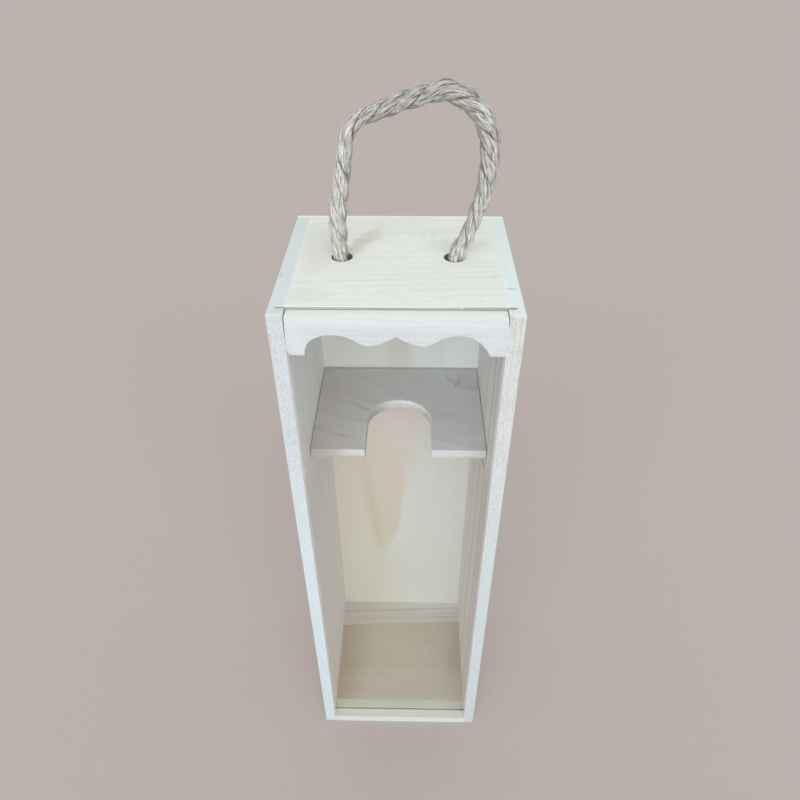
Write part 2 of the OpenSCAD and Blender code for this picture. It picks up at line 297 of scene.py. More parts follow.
class Finish:
    """The nodes of a material or a world, and the colour that the finish has so far. node() adds any node
    and answers with the output that is asked for."""

    def __init__(self, name, kind=bpy.data.materials):
        self.owner = kind.new(name)
        self.owner.use_nodes = True
        self.tree = self.owner.node_tree
        self.tree.nodes.clear()
        self.colour = None

    def node(self, kind, settings=None, values=None, output=0):
        made = self.tree.nodes.new(kind)
        for key, value in (settings or {}).items():
            if key == "stops":
                ramp = made.color_ramp
                while len(ramp.elements) < len(value):
                    ramp.elements.new(0.5)
                for stop, (at, colour) in zip(ramp.elements, value):
                    stop.position, stop.color = at, colour
            else:
                setattr(made, key, value)
        for key, value in (values or {}).items():
            if isinstance(value, Signal):
                self.tree.links.new(value.socket, made.inputs[key])
            else:
                made.inputs[key].default_value = value
        return Signal(self, made.outputs[output] if made.outputs else None)

    def maths(self, operation, *terms):
        return self.node("ShaderNodeMath", {"operation": operation}, dict(enumerate(terms)))

    def mix(self, share, first, second, blend="MIX"):
        """The first colour where share is 0, and the second where it is 1."""
        settings = {"data_type": "RGBA", "blend_type": blend}
        return self.node("ShaderNodeMix", settings, {0: share, 6: first, 7: second}, 2)

    def tint(self, share, tone, blend="MIX"):
        """Lays a tone over the colour so far, as strongly as share says."""
        self.colour = self.mix(share, self.colour, tone, blend)

    def ramp(self, value, stops):
        return self.node("ShaderNodeValToRGB", {"stops": stops}, {0: value})

    def fade(self, value, low, high, first=0.0, last=1.0):
        """Goes smoothly from first, at low and below, to last, at high and above."""
        values = {"Value": value, "From Min": low, "From Max": high, "To Min": first, "To Max": last}
        return self.node("ShaderNodeMapRange", {"interpolation_type": "SMOOTHSTEP"}, values)

    def fall(self, value, low, high):
        """Goes smoothly from 1, at low and below, to 0, at high and above."""
        return self.fade(value, low, high, 1.0, 0.0)

    def noise(self, at, detail=2.0, rough=0.5):
        """Smooth noise round 0.5. at is three signals or numbers."""
        at = self.node("ShaderNodeCombineXYZ", None, dict(enumerate(at)))
        values = {"Vector": at, "Scale": 1.0, "Detail": detail, "Roughness": rough}
        return self.node("ShaderNodeTexNoise", {"noise_dimensions": "3D"}, values)

    def sway(self, at, width, detail=2.0):
        """Smooth noise that wanders to both sides of 0, over about the given width."""
        return (self.noise(at, detail) - 0.5) * width

    def parts(self, vector):
        made = self.node("ShaderNodeSeparateXYZ", None, {0: vector}).socket.node
        return [Signal(self, s) for s in made.outputs]

    def xyz(self, output):
        """The three parts of a texture coordinate, in millimetres where it is Object."""
        at = self.node("ShaderNodeTexCoord", output=output)
        if output == "Object":
            at = self.node("ShaderNodeVectorMath", {"operation": "SCALE"}, {0: at, "Scale": 1000.0})
        return self.parts(at)

    def close(self, shader):
        self.node("ShaderNodeOutputMaterial", None, {"Surface": shader})
        return self.owner

    def surface(self, rough, height, relief, **constants):
        """Ends the material in a Principled shader, with bumps that are relief metres high."""
        bumps = self.node("ShaderNodeBump", None, {"Strength": 1.0, "Distance": relief, "Height": height})
        values = {"Base Color": self.colour, "Roughness": rough, "Normal": bumps}
        values.update({k.replace("_", " "): v for k, v in constants.items()})
        return self.close(self.node("ShaderNodeBsdfPrincipled", None, values))


def jute_finish():
    """Pale grey-beige fibres with darker ones among them. Painted shade lies as dark lines between the yarns
    and strands, darkens the top of the arch a little, and is browner on the side that faces the inside of the
    arch."""
    f = Finish("jute_rope")
    along, yarn, _ = f.parts(f.node("ShaderNodeUVMap", {"uv_map": "lay"}))
    c, s = f.maths("COSINE", yarn * (2 * math.pi)), f.maths("SINE", yarn * (2 * math.pi))
    valley = 1 - abs(f.maths("COSINE", yarn * (math.pi * YARNS)))
    fibre = f.noise((along * 16, c * 13, s * 13), detail=3, rough=0.75)
    bundle = f.noise((along * 22, c * 6, s * 6), detail=3, rough=0.65)
    clump = f.noise((along * 14, c * 1.8, s * 1.8), detail=2)
    f.colour = f.ramp(f.fade(fibre * 0.5 + bundle * 0.5, 0.4, 0.6), [
        (0.02, paint(92, 88, 78)), (0.22, paint(162, 161, 152)), (0.5, paint(217, 219, 213)),
        (0.9, paint(250, 254, 250)),
    ])
    f.tint(f.fade(clump, 0.54, 0.68) * 0.3, paint(176, 166, 136))
    x, _, z = f.xyz("Object")
    up = z - TOP_MM
    at_hole = f.fade(up, 1, 11, 0.85, 0.2)
    # Painted shade: dark lines in the valleys between the yarns, stronger near the holes.
    f.tint(f.fade(valley + bundle * 0.8, 0.95, 1.25) * at_hole, paint(84, 77, 60))
    # Painted shade: the top of the arch is made a little darker.
    arch_top = f.fade(x, -26, -8) * f.fade(x, 26, 38, 1.0, 0.72) * f.fade(up, 23, 47)
    f.tint(arch_top, paint(221, 218, 218), "MULTIPLY")
    inward, held = (
        f.node("ShaderNodeAttribute", {"attribute_name": key}, output=2) for key in ("inward", "held")
    )
    # Painted shade: dark lines where the strands meet.
    f.tint(f.fade(inward + fibre * 0.3, 0.46, 0.6) * 0.9, paint(78, 73, 58))
    f.tint(f.fade(up, 17, 41, 0.25, 0.0), paint(184, 184, 176))
    # Painted shade, browner, on the side of the rope that faces the inside of its arch.
    f.tint(f.fade(held + bundle * 0.3, 0.8, 1.1) * 0.45, paint(124, 106, 98))
    height = fibre + bundle * 0.8 - valley * 0.3
    rough = f.fade(fibre, 0.3, 0.7, 0.95, 0.8)
    return f.surface(rough, height, 0.0005, Sheen_Weight=0.1, Sheen_Roughness=0.5)


def fibre_finish():
    """Single fibres: some are bleached nearly white, and some are brown."""
    f = Finish("jute_fibre")
    x, y, z = f.xyz("Object")
    shade = f.noise((x / 3, y / 3, z / 3), detail=2)
    f.colour = f.ramp(shade, [
        (0.35, paint(132, 118, 96)), (0.5, paint(196, 190, 174)), (0.65, paint(232, 230, 220)),
    ])
    return f.surface(f.fade(shade, 0.3, 0.7, 0.9, 0.7), shade, 0.00002)


jute, fibres = jute_finish(), fibre_finish()
arch = [(x / 1000, HOLE_Y + y / 1000, FOLD_Z + z / 1000) for x, y, z in ROPE_ROUTE_MM]
route = [(-HOLE_X, HOLE_Y, PANEL_UNDER), (-HOLE_X - LEG_LEAN, HOLE_Y, BOX_TOP), *arch,
         (HOLE_X + LEG_LEAN, HOLE_Y, BOX_TOP), (HOLE_X, HOLE_Y, PANEL_UNDER)]
rope_line = smooth_line(route, 0.0005)
rope_swell = np.interp(np.linspace(0, 1, len(rope_line)), *zip(*ROPE_THICKNESS))
rope = rope_piece("rope", rope_line, rope_swell, seed=5, shade_focus=SHADE_FOCUS)
rope.data.materials.append(jute)
rope_hair = hair_piece("rope_hair", rope_line, rope_swell, count=900, seed=11, longest=0.007)
rope_hair.data.materials.append(fibres)
for piece in (rope, rope_hair):
    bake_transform(piece)
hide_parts("rope_handle")


# Under the top panel each end of the rope is tied in an overhand knot that is too big for its hole, and
# the short tail below it is cut off square and frays.
KNOT_HOLE, KNOT_R, KNOT_RISE = 0.0066, 0.0031, 0.0058
KNOT_SQUEEZE = 0.78
KNOT_Z = PANEL_UNDER - 0.0003 - KNOT_RISE - ROPE_D / 2 * KNOT_SQUEEZE
KNOT_CUT = math.radians(40)
KNOT_STEPS = 36
TAIL_END = 0.3142


def knot_line(x, turn):
    """The rope's middle line from its hole through the knot: twice round, and three times through."""
    points = [(0, 0, PANEL_UNDER + 0.001), (0, 0, KNOT_Z + 0.007)]
    for i in range(KNOT_STEPS + 1):
        about = KNOT_CUT + (4 * math.pi - 2 * KNOT_CUT) * i / KNOT_STEPS
        through = math.pi + 1.5 * about
        out = KNOT_HOLE + KNOT_R * math.cos(through)
        lift = KNOT_RISE * math.sin(through)
        points.append((out * math.cos(about + turn), out * math.sin(about + turn), KNOT_Z + lift))
    mid_tail = (KNOT_Z + TAIL_END) / 2 - 0.006
    points += [(0, 0, KNOT_Z - 0.008), (0.0004, 0, KNOT_Z - 0.013), (0.001, 0.0005, mid_tail),
               (0.0012, 0.0008, TAIL_END)]
    return smooth_line([(x + px, HOLE_Y + py, pz) for px, py, pz in points], 0.0006)


knots = []
for name, x, turn, seed in (("left_rope_knot", -HOLE_X, 0.6, 31), ("right_rope_knot", HOLE_X, 2.4, 53)):
    line = knot_line(x, turn)
    share = np.linspace(0, 1, len(line))
    swell = np.interp(share, (0, 0.06, 0.14, 0.82, 0.9, 1), (1, 0.9, KNOT_SQUEEZE, KNOT_SQUEEZE, 0.94, 1.04))
    knot = rope_piece(name + "_jute", line, swell, seed, sides=30)
    knot.data.materials.append(jute)
    hair = hair_piece(name + "_hair", line, swell, count=220, seed=seed + 1, longest=0.006, down=60)
    hair.data.materials.append(fibres)
    for piece in (knot, hair):
        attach(piece, "carcass")
    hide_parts(name)
    knots += [knot, hair]

rope_length = float(frames_along(rope_line)[0][-1])


# The box stands on a plain pale floor under soft light from the front and from all round. The floor takes
# the object's shadow, and behind it the world shows the floor's own colour.
BACKDROP, FLOOR = paint(187, 176, 172), paint(180, 169.5, 165.5)
WORLD_LIGHT, SUN_LIGHT = 0.85, 2.25
SUN_HEIGHT, SUN_SIDE, SUN_SPREAD = (math.radians(a) for a in (18, 1, 80))
SMOOTH_ANGLE = math.radians(20)


def floor_finish():
    f = Finish("floor")
    speckle = f.noise((coordinate * 0.9 for coordinate in f.xyz("Object")), detail=3)
    f.colour = f.mix(f.fade(speckle, 0.3, 0.7) * 0.04, FLOOR, paint(146, 136, 132))
    return f.surface(0.9, speckle, 0.00005)


def shaped_piece(name, bm):
    """The object that a bmesh makes, smooth but for its sharp edges."""
    mesh = bpy.data.meshes.new(name)
    bm.to_mesh(mesh)
    bm.free()
    mesh.shade_smooth()
    mesh.set_sharp_from_angle(angle=SMOOTH_ANGLE)
    return linked(name, mesh)


bm = bmesh.new()
bmesh.ops.create_grid(bm, x_segments=1, y_segments=1, size=9.0)
floor = shaped_piece("floor", bm)
floor.data.materials.append(floor_finish())

studio = Finish("studio", bpy.data.worlds)
bpy.context.scene.world = studio.owner
rays = studio.node("ShaderNodeLightPath").socket.node.outputs
seen = Signal(studio, rays["Is Camera Ray"])
for kind in ("Is Glossy Ray", "Is Transmission Ray"):
    seen = studio.maths("MAXIMUM", seen, Signal(studio, rays[kind]))
glow = studio.node("ShaderNodeBackground", None, {"Color": (1, 1, 1, 1), "Strength": WORLD_LIGHT})
shown = studio.node("ShaderNodeBackground", None, {"Color": BACKDROP})
either = studio.node("ShaderNodeMixShader", None, {0: seen, 1: glow, 2: shown})
studio.node("ShaderNodeOutputWorld", None, {"Surface": either})

sun = linked("soft_light", bpy.data.lights.new("soft_light", "SUN"))
sun.data.energy, sun.data.angle = SUN_LIGHT, SUN_SPREAD
sun.matrix_world = Matrix.Rotation(SUN_SIDE, 4, "Z") @ Matrix.Rotation(math.pi / 2 - SUN_HEIGHT, 4, "X")


# The boards are sawn from a light, soft, pale timber and left bare. Growth rings show as faint lines along
# each board, with fine fibres and pores between them, and the sawn edges are paler and rougher.
ARRIS_ANGLE = math.radians(35)


def wood(name, order, pith, slope, pitch, tones, late, lines, fibres, edge, end, marks, seed, wander=5.0,
         thin=0.5, relief=0.0001, torn=0.12):
    """A board's finish. order names the axes along the grain, across the face and through the board. The
    rings stand pitch apart round the pith, their lines have the colour late, and the grain leans by slope.
    edge and end are the colours of the sawn edges, and torn is how far their flecks differ from them."""
    f = Finish(name)
    late, edge, end = paint(*late), paint(*edge), paint(*end)
    place, normal = f.xyz("Object"), f.xyz("Normal")
    pick = ["xyz".index(c) for c in order]
    along, across, deep = (place[i] for i in pick)
    n_along, n_across, n_deep = (abs(normal[i]) for i in pick)
    across = across + along * slope
    drift = f.sway((along / 130 + seed, across / 26, deep / 26), wander)
    waver = f.sway((along / 32 + seed, across / 5, deep / 5), wander * 0.12)
    right = across - pith[0] + drift + waver
    low = deep - pith[1]
    radius = f.maths("SQRT", right * right + low * low)
    rings = radius / pitch + seed
    ring, part = f.maths("FLOOR", rings), f.maths("FRACT", rings)
    odd = f.noise((ring * 3.7, 0.5 + seed, 0.5), detail=0)
    line = f.fade(part, thin, 0.95) * f.fall(part, 0.95, 1.0) * f.fade(odd, 0.3, 0.7, 0.2, 1.0)
    streak = f.noise((along / 38 + seed, across / 0.9, deep / 0.9), detail=3, rough=0.6)
    fibre = f.noise((along / 7 + seed, across / 0.22, deep / 0.22), detail=2, rough=0.6)
    pore = f.fade(f.noise((along / 2.4, across / 0.2, deep / 0.2 + seed), detail=1), 0.66, 0.74)
    band = f.noise((along / 260 + seed, radius / (pitch * 2.3), 0.3), detail=2)
    stops = [(0.3 + 0.4 * i / (len(tones) - 1), paint(*tone)) for i, tone in enumerate(tones)]
    f.colour = f.ramp(band * 0.5 + odd * 0.5, stops)
    f.tint(line * lines, late)
    f.tint(f.fade(streak, 0.4, 0.75) * (fibres * 0.6), late)
    f.tint(f.fade(fibre, 0.5, 0.8) * (fibres * 0.5), late)
    f.tint(pore * (fibres * 0.8), tuple(0.6 * c for c in late[:3]) + (1,))
    saw = f.noise((place[0] / 0.5, place[1] / 0.5, place[2] / 0.5), detail=3, rough=0.7)
    cloud = f.noise((place[0] / 7, place[1] / 7, place[2] / 9 + seed), detail=3)
    tooth = f.noise((along / 1.9, across / 0.8, deep / 0.8 + seed), detail=3, rough=0.65)
    for rim, facing, grain in ((edge, n_across, tooth), (end, n_along, saw)):
        pale = tuple(c + (1 - c) * torn * 0.5 for c in rim[:3]) + (1.0,)
        dim = tuple(c * (1 - torn) for c in rim[:3]) + (1.0,)
        rim_colour = f.mix(f.fade(grain, 0.42, 0.6), pale, dim)
        rim_colour = f.mix(f.fade(cloud, 0.4, 0.7) * 0.2, rim_colour, dim)
        f.tint(f.fade(facing, 0.6, 0.8), rim_colour)
    marks(f, *place)
    cut = f.fall(n_deep, 0.6, 0.8)
    height = fibre * 0.5 + streak * 0.6 - line * 0.4 - pore * 0.9 + saw * cut * 1.2
    rough = f.fade(streak, 0.3, 0.7, 0.62, 0.74) + cut * 0.1
    return f.surface(rough, height, relief)


def spot(f, place, middle, size):
    """A soft round or oval mark, 1 in its middle and 0 outside. place and middle have one to three parts."""
    return f.fall(sum(((p - m) / s) ** 2 for p, m, s in zip(place, middle, size)), 0.0, 1.0)


def stroke(f, place, points, width):
    """A line through the given points of a face, 1 on it and 0 from its width away."""
    nearest = 1000.0
    for a, b in zip(points, points[1:]):
        run = (b[0] - a[0], b[1] - a[1])
        off = (place[0] - a[0], place[1] - a[1])
        share = (off[0] * run[0] + off[1] * run[1]) / (run[0] ** 2 + run[1] ** 2)
        share = f.node("ShaderNodeClamp", None, {"Value": share})
        gap = (off[0] - share * run[0], off[1] - share * run[1])
        nearest = f.maths("MINIMUM", nearest, f.maths("SQRT", gap[0] * gap[0] + gap[1] * gap[1]))
    return f.fall(nearest, 0.0, width)


def outline_board(node, outline, axis, ease, joints=(), segments=2, kind="wood"):
    """A board with the given outline, as long along an axis as its CAD node is. Its arrises are rounded,
    except the ones that lie in a joint with another board; a joint is an axis and a place on it."""
    bm = bmesh.new()
    low, high = (corner[axis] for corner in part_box(node))
    others = [i for i in range(3) if i != axis]
    corners = []
    for point in outline:
        at = [0.0, 0.0, 0.0]
        at[axis] = low
        at[others[0]], at[others[1]] = point
        corners.append(bm.verts.new(at))
    face = bm.faces.new(corners)
    moved = bmesh.ops.extrude_face_region(bm, geom=[face])["geom"]
    step = Vector([high - low if i == axis else 0.0 for i in range(3)])
    bmesh.ops.translate(bm, vec=step, verts=[v for v in moved if isinstance(v, bmesh.types.BMVert)])
    bmesh.ops.recalc_face_normals(bm, faces=bm.faces)
    arrises = [e for e in bm.edges if e.is_convex and e.calc_face_angle(0) > ARRIS_ANGLE
               and not any(all(abs(v.co[i] - at) < 0.00001 for v in e.verts) for i, at in joints)]
    bmesh.ops.bevel(bm, geom=arrises, offset=ease, offset_type="OFFSET", segments=segments, profile=0.5,
                    affect="EDGES", clamp_overlap=True, material=-1)
    return shaped_piece(f"{node}_{kind}", bm)


def cut_out(piece, cutters):
    """Cuts the cutters out of a piece, and deletes them."""
    for cutter in cutters:
        hole = piece.modifiers.new("hole", "BOOLEAN")
        hole.object, hole.operation, hole.solver = cutter, "DIFFERENCE", "EXACT"
    bpy.context.view_layer.update()
    shaped = bpy.data.meshes.new_from_object(piece.evaluated_get(bpy.context.evaluated_depsgraph_get()))
    piece.modifiers.clear()
    piece.data = shaped
    shaped.set_sharp_from_angle(angle=SMOOTH_ANGLE)
    for cutter in cutters:
        bpy.data.objects.remove(cutter)


def round_cutters(places, axis, bottom, top, bottom_r, top_r, segments=32):
    """Cones or cylinders in one object, each round an axis from bottom to top at one of the places."""
    bm = bmesh.new()
    turns = {0: Matrix.Rotation(math.pi / 2, 4, "Y"), 1: Matrix.Rotation(-math.pi / 2, 4, "X"), 2: Matrix()}
    for place in places:
        middle = Vector(place)
        middle[axis] = (bottom + top) / 2
        flip = Matrix.Rotation(math.pi, 4, "X") if bottom > top else Matrix()
        bmesh.ops.create_cone(bm, cap_ends=True, segments=segments, radius1=bottom_r, radius2=top_r,
                              depth=abs(top - bottom), matrix=Matrix.Translation(middle) @ turns[axis] @ flip)
    return shaped_piece("cutter", bm)


def place_board(piece, slot, **look):
    """Gives a board its wood, and puts it in the place of the CAD node of the same name."""
    node = piece.name.removesuffix("_wood")
    piece.data.materials.append(wood(node, **look))
    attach(piece, "carcass")
    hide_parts(node)


def rectangle(low, high):
    return [(low.x, low.y), (high.x, low.y), (high.x, high.y), (low.x, high.y)]


# Headed wire brads hold the boards. Their heads are drawn steel, driven just below the wood, and each
# leaves a small dished hole where the punch followed it.
HEAD_R, HEAD_T = 0.00115, 0.00065
DISH_R, DISH_DEPTH = 0.0015, 0.00025
CUT_ABOVE = 0.001


def head_places(brads, axis, face):
    """The middles of the brads' heads on a face, found on the CAD mesh, and how far the heads are sunk."""
    tips = [v.co.copy() for v in brads.data.vertices]
    top = max((t[axis] for t in tips), key=lambda value: -abs(value - face))
    groups = []
    for tip in (t for t in tips if abs(t[axis] - top) < 0.00002):
        near = next((g for g in groups if (g[0] - tip).length < 2.2 * HEAD_R), None)
        if near:
            near.append(tip)
        else:
            groups.append([tip])
    middles = [[(min(t[i] for t in g) + max(t[i] for t in g)) / 2 for i in range(3)] for g in groups]
    return middles, abs(top - face)


def dish_brads(piece, node, axis, face, outward):
    """Cuts the dished holes of a node's brads into the face of a board."""
    places, sunk = head_places(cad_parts[node], axis, face)
    above = face + outward * CUT_ABOVE
    deep = face - outward * (sunk + HEAD_T)
    wide = DISH_R + (DISH_R - HEAD_R) * CUT_ABOVE / DISH_DEPTH
    cut_out(piece, [
        round_cutters(places, axis, deep, above, HEAD_R, HEAD_R),
        round_cutters(places, axis, face - outward * DISH_DEPTH, above, HEAD_R, wide),
    ])


def steel_finish():
    f = Finish("steel_wire")
    x, y, z = f.xyz("Object")
    rub = f.noise((x / 0.3, y / 0.3, z / 0.3), detail=2)
    f.colour = f.mix(f.fade(rub, 0.4, 0.7), paint(170, 170, 168), paint(120, 116, 110))
    return f.surface(f.fade(rub, 0.3, 0.7, 0.3, 0.5), rub, 0.00003, Metallic=1.0)


steel = steel_finish()
for name in ("left_side_brads", "right_side_brads", "back_panel_brads"):
    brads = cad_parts[name]
    brads.data.materials.clear()
    brads.data.materials.append(steel)


# The two side panels stand from the floor to the top, front to back. Each has a saw groove near its front
# edge that the pane runs in, and they are nailed to the boards between them.
SLOT_FRONT, SLOT_BACK, SIDE_GROOVE = 0.0062, 0.0075, 0.0035
INNER_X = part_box("top_panel")[1].x
FRONT_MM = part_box("left_side_panel")[0].y * 1000
INNER_MM, OUTER_MM = INNER_X * 1000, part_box("right_side_panel")[1].x * 1000
KERF_MM = FRONT_MM + (SLOT_FRONT + SLOT_BACK) * 500
SIDE_TONES = [(234, 231, 229), (232, 229, 227), (228, 223, 220)]
SIDE_END = (219, 231, 232)
LEFT_STRIPES = [(-30, 3, 0.08), (-8, 4, 0.1), (22, 8, 0.12)]
RIGHT_STRIPES = [
    (-3, 3, 0.45), (-9, 1.2, 0.35), (-16, 1, 0.2), (-26, 4, 0.55), (-36, 1.5, 0.6), (-40, 1.8, 0.5),
    (8, 2, 0.25), (20, 5, 0.2), (34, 3, 0.1),
]
LEFT_FLECKS = [((-53.6, -16, 355), (1.0, 3.0, 3), 0.25)]
RIGHT_FLECKS = [((50.7, -27.8, 355), (2.6, 0.5, 3), 0.8), ((48, -15, 237), (2, 9, 3), 0.9)]


def side_marks(stripes, flecks, specks, low_edge):
    """Pinkish brown stripes up the inner face, with painted light that makes this face paler towards the top;
    single flecks, each with its place, size and strength; as many beige specks near the top of the front
    edge as specks says; and the colour that this edge takes lower down. The outer face is less pink, and
    the pane's groove is painted pale to lift its shade."""
    def draw(f, x, y, z):
        bend = f.sway((x / 20, 0.5, z / 70), 5)
        f.tint(f.fade(abs(x) - OUTER_MM, -0.4, -0.1, 0.0, 0.5), paint(228, 230, 222))
        inside = f.fall(abs(x) - INNER_MM, 0.02, 0.1)
        # Painted light: the inner face is made paler towards the top, where the top panel shades it.
        f.tint(f.fade(z, 210, 300) * inside * 0.8, paint(243, 247, 248))
        for at, width, share in stripes:
            f.tint(f.fall(abs(y + bend - at), 0.0, width) * inside * share, paint(196, 172, 168))
        for middle, size, share in flecks:
            f.tint(spot(f, (x, y, z), middle, size) * share, paint(140, 118, 98))
        grain = f.fade(f.noise((x / 0.7, 0.5, z / 11), detail=3, rough=0.6), 0.5, 0.72)
        front = f.fall(y - FRONT_MM, 0.6, 1.2)
        f.tint(front * f.fade(z, 150, 320, 0.6, 0.0), low_edge)
        f.tint(grain * front * f.fade(z, 230, 345) * specks, paint(172, 158, 144))
        # Painted light: the pane's groove is painted pale to lift its shade.
        groove_light = f.fall(abs(y - KERF_MM), 0.6, 0.7)
        groove_light = groove_light * f.fall(abs(x) - (INNER_MM + SIDE_GROOVE * 1000), 0.2, 0.4)
        f.tint(groove_light * f.fall(z - TOP_MM, -0.8, -0.2), paint(232, 230, 222))
    return draw


for side, name, edge, end, marks in (
    (-1, "left_side_panel", (200, 209, 214), (207, 219, 220),
     side_marks(LEFT_STRIPES, LEFT_FLECKS, 0.2, paint(206, 225, 234))),
    (1, "right_side_panel", (204, 210, 209), SIDE_END,
     side_marks(RIGHT_STRIPES, RIGHT_FLECKS, 0.55, paint(192, 208, 216))),
):
    low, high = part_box(name)
    y0, y1 = low.y, high.y
    x_out = high.x if side > 0 else low.x
    x_in, x_groove = side * INNER_X, side * (INNER_X + SIDE_GROOVE)
    outline = [(x_out, y0), (x_in, y0), (x_in, y0 + SLOT_FRONT), (x_groove, y0 + SLOT_FRONT),
               (x_groove, y0 + SLOT_BACK), (x_in, y0 + SLOT_BACK), (x_in, y1), (x_out, y1)]
    piece = outline_board(name, outline, 2, ease=0.0007, joints=[(0, x_in), (1, y1)], segments=3)
    dish_brads(piece, name.replace("panel", "brads"), 0, x_out, side)
    place_board(piece, "side_wood", order="zyx", pith=(70.0, side * 20), slope=0.004, pitch=3.1,
                tones=SIDE_TONES, late=(206, 194, 189), lines=0.2 + 0.08 * side, fibres=0.3, edge=edge,
                end=end, marks=marks, seed=3.0 + side)


# The top panel lies between the sides behind the pane's slot, with its grain across the box. Two holes are
# drilled through it for the rope, and the shadow of the rope's left leg is painted on it as a brown patch
# that fans out from the left hole.
TOP_TONES = [(227, 232, 226), (225, 231, 226), (221, 229, 224)]
HOLE_D = 0.010
SHADOW_MIDDLE, SHADOW_WAY = (-18.0, 19.0), (0.404, 0.915)
TOP_DOTS = [(12.6, 27.2), (17.2, 27.2)]
TOP_FRONT_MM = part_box("top_panel")[0].y * 1000


def top_marks(f, x, y, z):
    # Painted shadow of the rope's left leg, a brown fan from the left hole towards the back.
    dx, dy = x - SHADOW_MIDDLE[0], y - SHADOW_MIDDLE[1]
    along = dx * SHADOW_WAY[0] + dy * SHADOW_WAY[1]
    across = dy * SHADOW_WAY[0] - dx * SHADOW_WAY[1] + f.sway((x / 9, y / 9, 0.5), 10, detail=3)
    f.tint(spot(f, (along, across), (0, 0), (27, 6)) * 0.38, paint(184, 160, 118))
    f.tint(spot(f, (x, y), (-40, 12), (14, 34)) * 0.3, paint(192, 190, 176))
    for middle, size, share in (((30, 15), (24, 10), 0.4), ((-42, -34), (18, 10), 0.35)):
        f.tint(spot(f, (x, y), middle, size) * share, paint(204, 208, 200))
    f.tint(f.fade(y, 8, 40) * f.fade(x, 0, 40, 1.0, 0.3) * 0.3, paint(206, 214, 202))
    for dot in TOP_DOTS:
        f.tint(spot(f, (x, y), dot, (1.3, 0.7)) * 0.5, paint(150, 148, 130))
    # Painted light: the top of the panel's front face, at the pane's slot, is painted pale to lift its shade.
    f.tint(f.fall(y - TOP_FRONT_MM, 0.2, 0.4) * f.fade(z - TOP_MM, -1.6, -1.1), paint(230, 234, 229))
    bore = f.maths("SQRT", (abs(x) - HOLE_X * 1000) ** 2 + (y - HOLE_Y * 1000) ** 2)
    f.tint(f.fade(bore - HOLE_D * 500, 0.02, 0.3, 0.75, 0.0), paint(112, 88, 66))


low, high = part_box("top_panel")
joints = [(0, low.x), (0, high.x), (1, high.y)]
top = outline_board("top_panel", rectangle(low, high), 2, ease=0.0003, joints=joints)
holes = [(s * HOLE_X, HOLE_Y, 0) for s in (-1, 1)]
drills = round_cutters(holes, 2, low.z - CUT_ABOVE, high.z + CUT_ABOVE, HOLE_D / 2, HOLE_D / 2, segments=64)
cut_out(top, [drills])
place_board(top, "end_wood", order="xyz", pith=(160.0, 30.0), slope=-0.06, pitch=2.6, tones=TOP_TONES,
            late=(194, 190, 172), lines=0.3, fibres=0.35, edge=(216, 220, 212), end=SIDE_END,
            marks=top_marks, seed=7.0, thin=0.7)


# The floor is a board with the pane's groove across it near the front, and a strip glued on behind it whose
# joint runs a little out of square. The board is brown at its ends. Just behind the groove a pale band is a
# painted reflection of the lip in the pane, and the groove's walls are painted pale to lift their shade.
FLOOR_TONES = [(210, 205, 190), (205, 199, 183), (200, 192, 175)]
STRIP_TONES = [(218, 216, 210), (213, 208, 201)]
FLOOR_GROOVE = 0.003
FLOOR_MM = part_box("bottom_board")[1].z * 1000
STRIP_SLANT, STRIP_SHIFT = 0.0024, -0.0007


def floor_marks(f, x, y, z):
    bend = f.sway((x / 14, y / 6, 0.5), 22, detail=3)
    face = f.fade(y - FRONT_MM, 0.05, 0.3)
    f.tint(f.fall(x + bend, -46, -20) * face * 0.55, paint(182, 154, 124))
    f.tint(spot(f, (x + bend * 0.5, y), (48, 2), (14, 30)) * 0.45, paint(172, 152, 128))
    # Painted reflection: a pale band just behind the groove, the lip as the pane would mirror it.
    f.tint(f.fade(y - FRONT_MM, 7, 7.4) * f.fall(y - FRONT_MM, 12.8, 13.6) * 0.75, paint(208, 216, 204))
    lip = f.fall(y - FRONT_MM, 6.4, 6.8) * f.fade(z - FLOOR_MM, -0.7, -0.3)
    f.tint(lip * 0.85, paint(205, 211, 201))
    # Painted light: the walls of the pane's groove are painted pale to lift their shade.
    depth = FLOOR_MM - z
    groove_light = f.fall(abs(y - KERF_MM), 0.66, 0.7) * f.fade(depth, 0.05, 0.2) * f.fall(depth, 3.1, 3.3)
    f.tint(groove_light, paint(250, 249, 242))


def strip_marks(f, x, y, z):
    bend = f.sway((x / 30, 0.5, 0.5), 3)
    f.tint(f.fade(y, 37, 46) * f.fade(x, -48, 44, 0.1, 0.6), paint(238, 237, 233))
    for a, b, share in (((-47, 31.4), (48, 34.9), 0.25), ((-48, 39), (48.4, 43.4), 0.35)):
        f.tint(stroke(f, (x, y + bend), (a, b), 1.0) * share, paint(160, 142, 134))
    f.tint(f.fade(x, -40, 20, 0.3, 0.0), paint(204, 192, 172))


